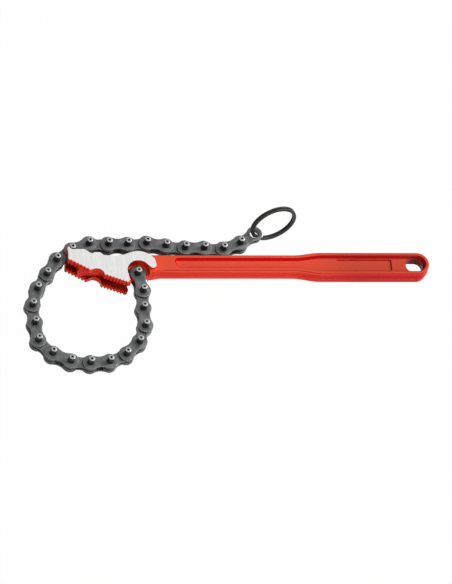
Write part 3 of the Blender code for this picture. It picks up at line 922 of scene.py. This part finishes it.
def plateSteel():
    material, tree, shader = startMaterial("bluedPlateSteel", 0.75, 0.42)
    points = objectPoints(tree)
    level = levelness(tree)
    patches = remap(tree, noiseValue(tree, points, chain["steelPatch"]), *noiseSpan, 0, 1)
    body = mixColours(tree, patches, chain["steelDark"], chain["steel"])
    upright = remap(tree, level, *chain["sideTilt"], 1, 0)  # the upright sides are painted black as shade
    body = mixColours(tree, upright, body, chain["steelSideShade"])
    rise = remap(tree, level, *chain["edgeRise"], 0, 1)  # painted highlight on the rolled edges, broken up by noise
    edge = mathValue(tree, "MULTIPLY", rise, remap(tree, level, *chain["edgeFall"], 1, 0))
    speckles = noiseValue(tree, points, chain["edgeSpeckle"], 6, 0.7)
    edgeHighlight = mathValue(tree, "MULTIPLY", edge, remap(tree, speckles, *patchSpan, chain["edgeSpeckleShare"], 1))
    tree.links.new(mixColours(tree, edgeHighlight, body, chain["steelEdgeHighlight"]), shader.inputs["Base Color"])
    sheen = noiseValue(tree, points, chain["sheenPatch"])
    tree.links.new(remap(tree, sheen, *noiseSpan, *chain["steelRoughness"]), shader.inputs["Roughness"])
    bumpFrom(tree, shader, noiseValue(tree, points, chain["pitting"], 3), chain["pittingDepth"])
    return material


def blackPinSteel():
    material, _, shader = cloudedMetal("blackenedPin", 0.0, chain["pinStreaks"], chain["pinCloud"],
                                       chain["pinBlack"], chain["pinBlackRoughness"])
    shader.inputs["Specular IOR Level"].default_value = chain["pinBlackSpecular"]
    return material


def brightPinSteel():
    material, _, _ = cloudedMetal("groundPinEnd", 0.85, (1, 1, 1), chain["pinCloud"],
                                  chain["pinBright"], chain["pinBrightRoughness"])
    return material


def linkOutline(pitch):
    halfPitch = pitch / 2
    halfWaist = chain["waist"] / 2
    endRadius = chain["endRadius"]
    hollow = (halfPitch ** 2 + halfWaist ** 2 - endRadius ** 2) / (2 * (endRadius - halfWaist))
    meet = math.degrees(math.atan2(halfWaist + hollow, halfPitch))
    points = arcPoints((pitch, 0), endRadius, meet - 180, 180 - meet, 30)[:-1]
    points += arcPoints((halfPitch, halfWaist + hollow), hollow, -meet, meet - 180, 8)[:-1]
    points += arcPoints((0, 0), endRadius, meet, 360 - meet, 30)[:-1]
    points += arcPoints((halfPitch, -halfWaist - hollow), hollow, 180 - meet, meet, 8)[:-1]
    return points


def pinProfile():
    top = chain["pinLength"] / 2
    radius = chain["pinRadius"]
    edge = chain["pinEdge"]
    dimple = chain["dimple"]
    depth = chain["dimpleDepth"]
    footShare, footDepth = chain["dimpleFoot"]
    lipShare, lipDepth = chain["dimpleLip"]
    bevel = chain["pinEdgeShare"] * edge
    half = [(0, top - depth, blackIndex), (dimple * footShare, top - depth * footDepth, blackIndex)]
    half += [(dimple, top - lipDepth, brightIndex), (dimple * lipShare, top, brightIndex)]
    half += [(radius - edge, top, brightIndex), (radius - bevel, top - bevel, blackIndex)]
    half.append((radius, top - edge, blackIndex))
    lower = [(r, -z) for r, z, _ in reversed(half)]
    bands = [blackIndex] + 3 * [brightIndex] + 3 * [blackIndex]
    return half + [(r, z, band) for (r, z), band in zip(lower, bands)]


def bushProfile(top):
    bore = chain["pinHole"]
    radius = chain["bushRadius"]
    return [(bore, top, 0), (radius, top, 0), (radius, -top, 0), (bore, -top, 0), (bore, top, 0)]


def chainMeshes(pitch):
    plate = plateSteel()
    outline = linkOutline(pitch)
    nearHole = circlePoints((0, 0), chain["pinHole"], 28)
    pinHoles = [nearHole, circlePoints((pitch, 0), chain["pinHole"], 28)]
    ringHoles = [nearHole, circlePoints((pitch, 0), chain["ringHole"], 28)]
    innerPlate = chain["innerPlate"]
    outerPlate = chain["outerPlate"]
    inner = chain["innerWidth"] / 2
    outer = inner + chain["gap"]
    meshes = {}
    for name, holes, low, high in (
        ("outerUpper", pinHoles, outer, outer + outerPlate),
        ("outerLower", pinHoles, -outer - outerPlate, -outer),
        ("innerUpper", pinHoles, inner - innerPlate, inner),
        ("innerLower", pinHoles, -inner, innerPlate - inner),
        ("lastUpper", ringHoles, inner - innerPlate, inner),
        ("lastLower", ringHoles, -inner, innerPlate - inner),
    ):
        meshes[name] = platedMesh(name, [outline] + holes, low, high, chain["rim"], plate)
    pinMaterials = [blackPinSteel(), brightPinSteel()]
    meshes["pin"] = turnedMesh("pin", pinProfile(), 36, pinMaterials)
    meshes["bush"] = turnedMesh("bush", bushProfile(inner - innerPlate), 32, [plate])
    return meshes


def addLink(k, meshes, place, pitch):
    body = f"link_{k:02d}"
    last = k == chain["links"]
    if k % 2:  # odd links are outer ones with two pins, even ones inner with two bushes
        kind, solids, core, slot = "outer", ("_pin_plate", "_outer_plate"), "pin", "pins"
    else:
        kind, solids, core, slot = "inner", ("_bush_plate", "_inner_plate"), "bush", "plates"
    for side, solid in zip(("Lower", "Upper"), solids):
        mesh = meshes[("last" if last else kind) + side]
        addPiece(f"{body}_{side.lower()}_{kind}", mesh, body, place, [body + solid])
    for i, x in enumerate((0,) if last else (0, pitch)):
        addPiece(f"{body}_{core}_{i + 1}", meshes[core], body, place @ Matrix.Translation((x, 0, 0)))


def makeChain():
    places = [Vector(joints[f"link_{k:02d}"]["pos_m"]) for k in range(1, chain["links"] + 1)]
    places.append(Vector(joints["ring"]["pos_m"]))
    pitch = (places[1] - places[0]).length
    meshes = chainMeshes(pitch)
    for k, (start, end) in enumerate(zip(places, places[1:]), 1):
        heading = end - start
        turn = Matrix.Rotation(math.atan2(heading.y, heading.x), 4, "Z")
        addLink(k, meshes, Matrix.Translation(start) @ turn, pitch)


makeChain()
print("chain assembled")


# split ring: two turns of flat spring wire

ring = {
    "radius": 18.5 * mm,
    "width": 2.9 * mm,
    "height": 1.7 * mm,
    "gap": 0.3 * mm,
    "direction": 16.0,
    "lean": 8.0,
    "turned": -108,
    "jogStart": 326,
    "jogEnd": 357,
    "endGap": 5,
    "squareness": 0.7,
    "steps": 220,
    "sides": 20,
    "steel": ((0.022, 0.022, 0.021), (0.055, 0.055, 0.052)),
    "cloud": 1.2 * mm,
    "roughness": (0.3, 0.45),
    "pitting": 0.4 * mm,
    "pittingDepth": 0.01 * mm,
}


def ringSteel():
    material, tree, shader = cloudedMetal("blackSpringSteel", 0.7, (1, 1, 1), ring["cloud"],
                                          ring["steel"], ring["roughness"])
    pits = noiseValue(tree, objectPoints(tree), ring["pitting"], 3)
    bumpFrom(tree, shader, pits, ring["pittingDepth"])
    return material


def ringPlace():
    lean = math.radians(ring["lean"])
    thick = ring["height"] + ring["gap"]
    reach = (ring["radius"] + ring["width"] / 2) * math.cos(lean) + thick * math.sin(lean)
    height = (reach - chain["pinLength"] / 2 + ring["gap"]) / math.cos(lean)
    away = math.sqrt(ring["radius"] ** 2 - height ** 2)
    up = Vector((0, math.sin(lean), math.cos(lean)))
    along = Vector((1, 0, 0))
    turn = Matrix((along, up, along.cross(up))).transposed().to_4x4()
    hinge = Matrix.Translation(joints["ring"]["pos_m"])
    hinge @= Matrix.Rotation(math.radians(ring["direction"]), 4, "Z")
    return hinge @ Matrix.Translation(along * away + up * height) @ turn


def squared(value):
    return math.copysign(abs(value) ** ring["squareness"], value)


def makeRing():
    shape = bmesh.new()
    stop = 360 + ring["jogStart"] - ring["endGap"]
    layer = (ring["height"] + ring["gap"]) / 2
    sections = []
    for i in range(ring["steps"] + 1):
        angle = stop * i / ring["steps"]
        climb = min(max((angle - ring["jogStart"]) / (ring["jogEnd"] - ring["jogStart"]), 0), 1)
        climb = climb * climb * (3 - 2 * climb)
        turn = math.radians(angle + ring["turned"])
        section = []
        for j in range(ring["sides"]):
            side = 2 * math.pi * j / ring["sides"]
            radius = ring["radius"] + squared(math.cos(side)) * ring["width"] / 2
            height = layer * (2 * climb - 1) + squared(math.sin(side)) * ring["height"] / 2
            section.append(shape.verts.new((radius * math.cos(turn), radius * math.sin(turn), height)))
        sections.append(section)
    for first, second in zip(sections, sections[1:]):
        for j in range(ring["sides"]):
            k = (j + 1) % ring["sides"]
            shape.faces.new((first[j], first[k], second[k], second[j]))
    shape.faces.new(sections[0])
    shape.faces.new(sections[-1])
    mesh = finishMesh("split_ring_wire", shape, [ringSteel()])
    addPiece("split_ring_wire", mesh, "ring", ringPlace(), ["split_ring"])


makeRing()
print("split ring hung")
